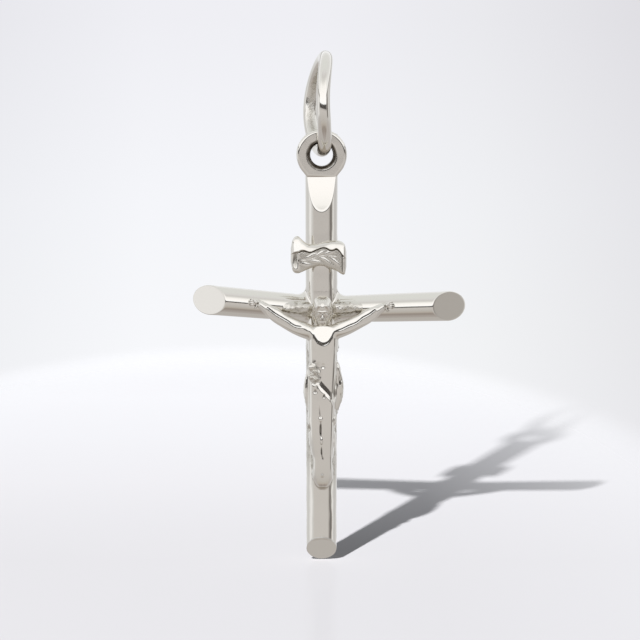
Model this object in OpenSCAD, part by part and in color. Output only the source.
// Crucifix pendant on a jump ring, in millimetres.
// The origin is the chain seat: the inside of the jump ring at its top, where a chain bears.
// +X is to the viewer's right, +Y away from the viewer and +Z up. The figure faces -Y.

/* [Jump ring] */
// Radius of the ring, to the middle of its wire
ring_mid_r = 2.85; // [2.5:0.05:3.6]
// Diameter of the ring's round wire
ring_wire_d = 0.85; // [0.7:0.05:0.95]
// Angle that the ring leans sideways in the eyelet
ring_lean = 2.4; // [0:0.1:4]
// Angle that the ring and the eyelet are turned from straight ahead
loop_turn = 8; // [0:1:12]
// How far the front and back of the ring are bowed to the left, out of its own plane
ring_bow = 0.4; // [0:0.02:0.5]
// How far the ring is skewed between its top and bottom halves, as hand-closed rings are
ring_skew = 0.08; // [0:0.01:0.16]

/* [Eyelet] */
// Radius of the eyelet's hole
eyelet_hole_r = 0.75; // [0.65:0.05:0.9]
// Width of the metal round the eyelet's hole
eyelet_band = 0.8; // [0.65:0.05:1]
// Thickness of the eyelet from front to back
eyelet_depth = 1; // [0.8:0.05:1.2]
// Rounding of the eyelet's edges
eyelet_edge_r = 0.25; // [0.15:0.05:0.35]
// Gap over the ring's wire to the top of the eyelet's hole
hang_gap = 0.05; // [0.03:0.01:0.08]

/* [Stem] */
// Height from the crossing up to the middle of the eyelet's hole
stem_rise = 9.55; // [8.5:0.05:11]
// Length from the crossing down to the tip of the foot
stem_drop = 15.5; // [13.5:0.1:18]
// Diameter of the stem under the eyelet
stem_top_d = 2; // [1.8:0.05:2.2]
// Diameter of the stem at the foot
stem_foot_d = 1.84; // [1.7:0.02:2]
// Length of the slant cut at the foot
foot_cut = 1.4; // [1:0.05:1.9]
// Length of the slant cuts under the eyelet
top_cut = 2.15; // [1.7:0.05:2.6]

/* [Crossbar] */
// Length of the arm on the viewer's left, from the stem's middle
left_arm_length = 7.95; // [7:0.05:9]
// Length of the arm on the viewer's right, from the stem's middle
right_arm_length = 8.9; // [8:0.05:10]
// Angle that the left arm rises towards its end
left_arm_rise = 4.9; // [2:0.1:6]
// Angle that the right arm rises towards its end
right_arm_rise = 1.6; // [0:0.1:4]
// Diameter of the arms at the stem
arm_root_d = 1.6; // [1.5:0.02:1.8]
// Diameter of the arms at their ends
arm_end_d = 1.86; // [1.75:0.02:2]
// Length of the slant cuts at the arms' ends
arm_cut = 2.1; // [1.6:0.05:2.5]
// Radius of the hollow corners over the crossing
corner_r = 0.75; // [0.5:0.05:1]

/* [Title scroll] */
// Width of the scroll
scroll_w = 3.42; // [3:0.02:3.8]
// Height of the scroll at its flared ends
scroll_h = 2.3; // [1.9:0.05:2.6]
// Thickness of the scroll
scroll_t = 0.42; // [0.35:0.01:0.5]
// How far the scroll's face stands before the stem's front
scroll_proud = 0.34; // [0.25:0.01:0.4]
// Height of the scroll's middle over the crossing
scroll_rise = 3.38; // [3.1:0.02:3.8]
// How far the scroll's middle lies to the left of the stem's middle
scroll_shift = 0.18; // [0:0.02:0.3]

/* [Figure] */
// Height of the figure from its toes to the top of its shoulders
figure_h = 9.65; // [9:0.05:10.2]
// How far the top of the shoulders lies under the crossing
shoulder_drop = 1.24; // [1.1:0.02:1.4]
// Width of the figure at its hips
hip_w = 2.5; // [2.3:0.02:2.7]
// How far the figure's hips stand before the stem's front
figure_proud = 0.95; // [0.8:0.01:1.1]
// Distance from the stem's middle to the tip of each hand
hand_reach = 4.15; // [3.9:0.05:4.4]
// Diameter of the upper arms
upper_arm_d = 0.78; // [0.66:0.02:0.86]
// Width of the head
head_w = 1.29; // [1.15:0.01:1.4]
// Height of the head with its beard
head_h = 2.28; // [2:0.02:2.5]
// How far the middle of the head lies before the stem's middle
head_proud = 1.36; // [1.25:0.01:1.45]

/* [Hidden] */
$fn = 48;

WHITE_GOLD = [0.83, 0.81, 0.77];
// Depth that joined shapes run into each other
SUNK = 0.2;
// Size of the blocks that cut the bars
BLOCK = 6;
// Share that the corner webs have of the crossbar's depth
WEB_DEPTH = 0.4;
// Shares that the neck under the eyelet has of the eyelet's outer radius, the stem's radius and the
// eyelet's depth
NECK_SPREAD = 0.86;
NECK_SHOULDER = 0.96;
NECK_DEPTH = 0.86;

// Columns of body_sections: height, half width, front and sideways place, fold depth and leg groove.
// Heights are shares of figure_h, widths and sideways places of half of hip_w, and the rest of the
// depth from the figure's base plane to the front of its hips.
BODY_HEIGHT = 0;
BODY_WIDTH = 1;
BODY_FRONT = 2;
BODY_SIDE = 3;
BODY_FOLD = 4;
BODY_GROOVE = 5;
body_sections = [
    [0.00, 0.30, 0.36, 0.00, 0.00, 0.00], // toes
    [0.03, 0.43, 0.58, 0.00, 0.00, 0.05],
    [0.09, 0.49, 0.66, 0.00, 0.00, 0.08], // feet
    [0.17, 0.49, 0.60, 0.00, 0.00, 0.07], // ankles
    [0.27, 0.50, 0.72, 0.00, 0.00, 0.11], // calves
    [0.40, 0.54, 0.88, 0.00, 0.00, 0.12], // knees
    [0.49, 0.66, 0.86, 0.01, 0.00, 0.08], // thighs
    [0.55, 0.85, 0.93, 0.06, 0.04, 0.03], // hem of the loincloth
    [0.62, 0.98, 1.00, 0.10, 0.05, 0.00], // hips
    [0.70, 0.94, 0.97, 0.11, 0.03, 0.00], // roll at the top of the loincloth
    [0.76, 0.84, 0.78, 0.12, 0.00, 0.00], // waist
    [0.86, 0.86, 0.88, 0.13, 0.00, 0.00], // ribs
    [0.94, 0.86, 0.86, 0.10, 0.00, 0.00], // chest
    [1.00, 0.60, 0.58, 0.03, 0.00, 0.00], // shoulders
];
RING_STATIONS = 44;
RING_SIDES = 12;
BODY_RINGS = 30;
BODY_SIDES = 28;
CLOTH_FOLDS = 5;
FOLD_SLANT = 260;
GROOVE_HALF_ANGLE = 24;
// Depths of the figure's base plane and of its back, as shares of the stem's radius at the crossing
BASE_DEPTH = 0.58;
BACK_DEPTH = 0.2;

// Columns of arm_sections: the way from breast to hand, lift over the straight line, swell and radius.
// Lifts and swells are shares of the arm's reach, and radii of half of upper_arm_d.
ARM_WAY = 0;
ARM_LIFT = 1;
ARM_SWELL = 2;
ARM_RADIUS = 3;
arm_sections = [
    [0.00, 0.00, 0.00, 0.90], // breast
    [0.16, -0.02, 0.01, 1.12], // shoulder
    [0.36, -0.03, 0.03, 1.04], // upper arm
    [0.53, -0.04, 0.04, 0.98], // elbow
    [0.70, -0.03, 0.03, 0.98], // forearm
    [0.86, 0.01, 0.01, 0.70], // wrist
    [0.94, 0.01, 0.00, 0.76], // palm
    [1.00, 0.00, 0.00, 0.34], // fingers
];
ARM_RINGS = 14;
ARM_SIDES = 12;
// Where an arm starts in the breast: sideways as a share of half of hip_w, before the base plane as
// a share of figure_depth, and under the shoulders' top as a share of upper_arm_d
BREAST_SIDE = 0.24;
BREAST_DEPTH = 0.5;
BREAST_SINK = 0.26;
// Angle round the crossbar, up from its front, at which the hands are nailed
HAND_ANGLE = 16;

// Columns of head_sections: height, half width, depth and forward place.
// Heights are shares of head_h, and the rest of half of head_w.
HEAD_HEIGHT = 0;
HEAD_WIDTH = 1;
HEAD_DEPTH = 2;
HEAD_FORWARD = 3;
head_sections = [
    [0.00, 0.10, 0.20, 0.16], // tip of the beard
    [0.12, 0.32, 0.42, 0.08],
    [0.28, 0.60, 0.74, 0.06], // chin
    [0.42, 0.84, 0.96, 0.10],
    [0.56, 0.97, 1.04, 0.10], // cheeks
    [0.70, 1.00, 1.04, 0.08], // brow
    [0.82, 0.92, 0.92, 0.04],
    [0.92, 0.68, 0.66, 0.02], // crown
    [0.98, 0.34, 0.34, 0.00],
    [1.00, 0.08, 0.08, 0.00],
];
HEAD_RINGS = 16;
HEAD_SIDES = 18;
// Height of the beard's tip under the shoulders' top, in millimetres
BEARD_SINK = 0.12;

// Columns of scroll_sections: place across, top and bottom edge, and how far the face comes forward.
// Places across are shares of half of scroll_w, edges of half of scroll_h, and forward of scroll_t.
SCROLL_ACROSS = 0;
SCROLL_TOP = 1;
SCROLL_BOTTOM = 2;
SCROLL_FORWARD = 3;
scroll_sections = [
    [-1.00, 0.40, -0.36, 0.10], // rolled left end
    [-0.93, 0.86, -0.80, 0.30],
    [-0.76, 1.06, -0.94, 0.34],
    [-0.55, 0.80, -0.84, 0.10],
    [-0.40, 0.64, -0.74, 0.00],
    [-0.10, 0.60, -0.58, 0.02],
    [0.15, 0.68, -0.55, 0.06],
    [0.40, 0.78, -0.68, 0.02],
    [0.65, 0.81, -0.82, 0.04],
    [0.85, 0.72, -1.00, 0.16],
    [0.95, 0.54, -0.96, 0.16],
    [1.00, 0.20, -0.60, 0.04], // right end
];
SCROLL_RINGS = 26;
SCROLL_SIDES = 18;
// Squareness of the scroll's edge, and how much its top and bottom rims swell
SCROLL_SQUARE = 0.55;
RIM_SWELL = 0.45;

// Inner radius of the ring, and the fall from the chain seat to the middle of its lowest wire
ring_inner_r = ring_mid_r - ring_wire_d / 2;
ring_fall = ring_inner_r + ring_mid_r;
// Middle of the ring's lowest wire, on which the eyelet hangs and swings
pivot = [
    -ring_fall * sin(ring_lean) * cos(loop_turn),
    -ring_fall * sin(ring_lean) * sin(loop_turn),
    -ring_fall * cos(ring_lean),
];
// Distance from that middle down to the middle of the eyelet's hole
eyelet_drop = eyelet_hole_r - ring_wire_d / 2 - hang_gap;
eyelet_outer_r = eyelet_hole_r + eyelet_band;

stem_length = stem_rise + stem_drop;
// Height over the crossing at which the stem ends in the eyelet's neck
stem_end = stem_rise - eyelet_hole_r - eyelet_band / 2;

function stem_d(height) =
    stem_foot_d + (stem_top_d - stem_foot_d) * (height + stem_drop) / stem_length;
function arm_d(out, length) = arm_root_d + (arm_end_d - arm_root_d) * out / length;

// Depth of the stem's front, and of the figure's base plane and back, at the crossing
front_y = -stem_d(0) / 2;
base_y = BASE_DEPTH * front_y;
back_y = BACK_DEPTH * front_y;
figure_depth = base_y - front_y + figure_proud;

// Number of the row that a place in a table comes after
function row_before(table, place, i = 0) =
    i >= len(table) - 2 || place < table[i + 1][0] ? i : row_before(table, place, i + 1);
// Slope of a table's column at a row, from the rows on either side
function slope(table, column, i) =
    let (a = max(i - 1, 0), b = min(i + 1, len(table) - 1))
    (table[b][column] - table[a][column]) / (table[b][0] - table[a][0]);
// Value of a table's column at a place, on a smooth curve through its rows
function at(table, column, place) =
    let (
        i = row_before(table, place),
        gap = table[i + 1][0] - table[i][0],
        t = (place - table[i][0]) / gap
    )
    (2 * t ^ 3 - 3 * t ^ 2 + 1) * table[i][column]
    + (t ^ 3 - 2 * t ^ 2 + t) * gap * slope(table, column, i)
    + (3 * t ^ 2 - 2 * t ^ 3) * table[i + 1][column]
    + (t ^ 3 - t ^ 2) * gap * slope(table, column, i + 1);
// Places spread evenly through a table, from its first row to its last
function places(table, count) =
    let (first = table[0][0], last = table[len(table) - 1][0])
    [for (i = [0 : count - 1]) first + (last - first) * i / (count - 1)];
// A cosine or sine drawn out towards a square wave
function squared(value, power) = sign(value) * abs(value) ^ power;

// Closed solid through rings of points, each ring counter-clockwise seen from the last ring
module loft(rings) {
    sides = len(rings[0]);
    last = (len(rings) - 1) * sides;
    walls = [
        for (i = [0 : len(rings) - 2], j = [0 : sides - 1])
            let (a = i * sides + j, b = i * sides + (j + 1) % sides)
            each [[a, a + sides, b + sides], [a, b + sides, b]]
    ];
    first_cap = [for (j = [0 : sides - 1]) j];
    last_cap = [for (j = [sides - 1 : -1 : 0]) last + j];
    polyhedron([for (ring = rings) each ring], concat(walls, [first_cap, last_cap]), convexity = 8);
}

// Tapered round bar along +Z whose end is cut by a plane that faces -Y
module slant_bar(length, root_d, end_d, cut) {
    difference() {
        cylinder(h = length, d1 = root_d, d2 = end_d);
        translate([0, -end_d / 2, length - cut])
            rotate([atan2(cut, end_d), 0, 0])
            translate([-BLOCK / 2, -BLOCK / 2, 0])
            cube([BLOCK, BLOCK * 1.5, BLOCK / 2]);
    }
}

// Upper half of the stem, cut to a wedge as thick as the eyelet at its end
module stem_head() {
    cut_angle = atan2((stem_top_d - eyelet_depth) / 2, top_cut);
    difference() {
        cylinder(h = stem_end, d1 = stem_d(0), d2 = stem_top_d);
        for (side = [-1, 1])
            translate([0, side * stem_top_d / 2, stem_end - top_cut])
                rotate([side * cut_angle, 0, 0])
                translate([-BLOCK / 2, side > 0 ? 0 : -BLOCK, -BLOCK / 4])
                cube([BLOCK, BLOCK, BLOCK]);
    }
}

// Lower half of the stem, slant-cut at the foot
module stem_foot() {
    rotate([0, 180, 0]) slant_bar(stem_drop, stem_d(0), stem_foot_d, foot_cut);
}

// One arm of the crossbar. side is -1 on the viewer's left and 1 on the right
module arm(side, length, rise) {
    rotate([0, side * (90 - rise), 0]) slant_bar(length / cos(rise), arm_root_d, arm_end_d, arm_cut);
}

// Small web of metal that rounds the corner between the stem and an arm
module corner_web(side) {
    outer = arm_root_d / 2 + corner_r;
    difference() {
        translate([side > 0 ? 0 : -outer, -WEB_DEPTH * arm_root_d / 2, 0])
            cube([outer, WEB_DEPTH * arm_root_d, outer]);
        translate([side * (stem_d(0) / 2 + corner_r - SUNK / 2), 0, outer])
            rotate([90, 0, 0])
            cylinder(h = BLOCK, r = corner_r, center = true);
    }
}

// Round of metal with the hole that the jump ring passes through
module eyelet() {
    inner = eyelet_hole_r + eyelet_edge_r;
    outer = eyelet_outer_r - eyelet_edge_r;
    half = eyelet_depth / 2 - eyelet_edge_r;
    rotate([90, 0, 0]) rotate_extrude() {
        translate([eyelet_hole_r, -half]) square([eyelet_band, 2 * half]);
        translate([inner, -eyelet_depth / 2]) square([outer - inner, eyelet_depth]);
        for (x = [inner, outer], y = [-half, half]) translate([x, y]) circle(r = eyelet_edge_r);
    }
}

// Neck that spreads from the stem's end to the eyelet's sides
module eyelet_neck() {
    spread = NECK_SPREAD * eyelet_outer_r;
    shoulder = NECK_SHOULDER * stem_top_d / 2;
    depth = NECK_DEPTH * eyelet_depth;
    base = stem_end - stem_rise - SUNK;
    difference() {
        translate([0, depth / 2, 0]) rotate([90, 0, 0]) linear_extrude(depth)
            polygon([[-shoulder, base], [shoulder, base], [spread, -eyelet_outer_r / 2],
                [-spread, -eyelet_outer_r / 2]]);
        rotate([90, 0, 0]) cylinder(h = BLOCK, r = eyelet_hole_r + eyelet_edge_r, center = true);
    }
}

// Scroll over the figure's head, a lofted plate with flared and rolled ends and no lettering
module title_scroll() {
    face_y = -stem_d(scroll_rise) / 2 - scroll_proud;
    rings = [
        for (u = places(scroll_sections, SCROLL_RINGS))
            let (
                top = at(scroll_sections, SCROLL_TOP, u) * scroll_h / 2,
                bottom = at(scroll_sections, SCROLL_BOTTOM, u) * scroll_h / 2,
                forward = at(scroll_sections, SCROLL_FORWARD, u) * scroll_t
            )
            [
                for (j = [0 : SCROLL_SIDES - 1])
                    let (
                        a = 360 * j / SCROLL_SIDES,
                        rise = squared(sin(a), SCROLL_SQUARE),
                        swell = 1 + RIM_SWELL * abs(sin(a)) ^ 3
                    )
                    [
                        u * scroll_w / 2 - scroll_shift,
                        face_y - forward + scroll_t / 2 * (1 + squared(cos(a), SCROLL_SQUARE) * swell),
                        scroll_rise + (top + bottom) / 2 + rise * (top - bottom) / 2,
                    ]
            ]
    ];
    loft(rings);
}

// Trunk, loincloth and legs of the figure, lofted upwards from the toes
module figure_body() {
    base_z = -shoulder_drop - figure_h;
    rings = [
        for (s = places(body_sections, BODY_RINGS))
            let (
                half_w = at(body_sections, BODY_WIDTH, s) * hip_w / 2,
                front = at(body_sections, BODY_FRONT, s) * figure_depth,
                side = at(body_sections, BODY_SIDE, s) * hip_w / 2,
                fold = max(0, at(body_sections, BODY_FOLD, s)) * figure_depth,
                groove = max(0, at(body_sections, BODY_GROOVE, s)) * figure_depth
            )
            [
                for (j = [0 : BODY_SIDES - 1])
                    let (
                        a = 360 * j / BODY_SIDES,
                        off_front = (a - 270) / GROOVE_HALF_ANGLE,
                        ripple = fold * cos(CLOTH_FOLDS * a + FOLD_SLANT * s),
                        cleft = groove * exp(-off_front ^ 2)
                    )
                    [
                        side + (half_w + ripple) * cos(a),
                        base_y + (sin(a) < 0 ? (front + ripple - cleft) * sin(a) : (back_y - base_y) * sin(a)),
                        base_z + s * figure_h,
                    ]
            ]
    ];
    loft(rings);
}

// One arm of the figure, from the breast to the hand on the crossbar
module figure_arm(side, length, rise) {
    bar_r = arm_d(hand_reach, length) / 2;
    breast = [
        side * BREAST_SIDE * hip_w / 2,
        base_y - BREAST_DEPTH * figure_depth,
        -shoulder_drop - BREAST_SINK * upper_arm_d,
    ];
    hand = [
        side * hand_reach,
        -bar_r * cos(HAND_ANGLE),
        hand_reach * tan(rise) + bar_r * sin(HAND_ANGLE),
    ];
    way = hand - breast;
    reach = norm(way);
    along = way / reach;
    across = cross(along, [0, side, 0]) / norm(cross(along, [0, side, 0]));
    rings = [
        for (s = places(arm_sections, ARM_RINGS))
            let (
                radius = at(arm_sections, ARM_RADIUS, s) * upper_arm_d / 2,
                middle = breast + s * way + [
                    0,
                    -at(arm_sections, ARM_SWELL, s) * reach,
                    at(arm_sections, ARM_LIFT, s) * reach,
                ]
            )
            [
                for (j = [0 : ARM_SIDES - 1])
                    let (a = 360 * j / ARM_SIDES)
                    middle + radius * (cos(a) * across + sin(a) * cross(along, across))
            ]
    ];
    loft(rings);
}

// Head of the figure with its hair and beard as one plain form
module figure_head() {
    beard_z = -shoulder_drop - BEARD_SINK;
    rings = [
        for (s = places(head_sections, HEAD_RINGS))
            let (
                half_w = at(head_sections, HEAD_WIDTH, s) * head_w / 2,
                depth = at(head_sections, HEAD_DEPTH, s) * head_w / 2,
                middle_y = -head_proud - at(head_sections, HEAD_FORWARD, s) * head_w / 2
            )
            [
                for (j = [0 : HEAD_SIDES - 1])
                    let (a = 360 * j / HEAD_SIDES)
                    [half_w * cos(a), middle_y + depth * sin(a), beard_z + s * head_h]
            ]
    ];
    loft(rings);
}

// The casting: cross, eyelet, scroll and figure are one piece of metal
module crucifix() {
    color(WHITE_GOLD) translate(pivot - [0, 0, eyelet_drop]) {
        rotate([0, 0, loop_turn]) eyelet();
        rotate([0, 0, loop_turn / 2]) eyelet_neck();
        translate([0, 0, -stem_rise]) {
            stem_head();
            stem_foot();
            arm(-1, left_arm_length, left_arm_rise);
            arm(1, right_arm_length, right_arm_rise);
            corner_web(-1);
            corner_web(1);
            title_scroll();
            figure_body();
            figure_arm(-1, left_arm_length, left_arm_rise);
            figure_arm(1, right_arm_length, right_arm_rise);
            figure_head();
        }
    }
}

// Middle of the ring's wire and its direction, at an angle from the top over to the back
function ring_middle(a) =
    [ring_skew * sin(2 * a) - ring_bow * sin(a) ^ 2, ring_mid_r * sin(a), ring_mid_r * cos(a)];
function ring_way(a) =
    [2 * ring_skew * cos(2 * a) - ring_bow * sin(2 * a), ring_mid_r * cos(a), -ring_mid_r * sin(a)];

// The ring that a chain passes through: one turn of round wire, sprung a little out of flat
module jump_ring() {
    points = [
        for (i = [0 : RING_STATIONS - 1])
            let (
                a = 360 * i / RING_STATIONS,
                outward = [0, sin(a), cos(a)],
                sideways = cross(outward, ring_way(a)) / norm(cross(outward, ring_way(a)))
            )
            for (j = [0 : RING_SIDES - 1])
                let (b = 360 * j / RING_SIDES)
                ring_middle(a) + ring_wire_d / 2 * (cos(b) * outward + sin(b) * sideways)
    ];
    walls = [
        for (i = [0 : RING_STATIONS - 1], j = [0 : RING_SIDES - 1])
            let (
                here = i * RING_SIDES,
                next = (i + 1) % RING_STATIONS * RING_SIDES,
                k = (j + 1) % RING_SIDES
            )
            each [[here + j, next + j, next + k], [here + j, next + k, here + k]]
    ];
    color(WHITE_GOLD)
        rotate([0, 0, loop_turn])
        rotate([0, ring_lean, 0])
        translate([0, 0, -ring_inner_r])
        polyhedron(points, walls, convexity = 4);
}

jump_ring();
crucifix();
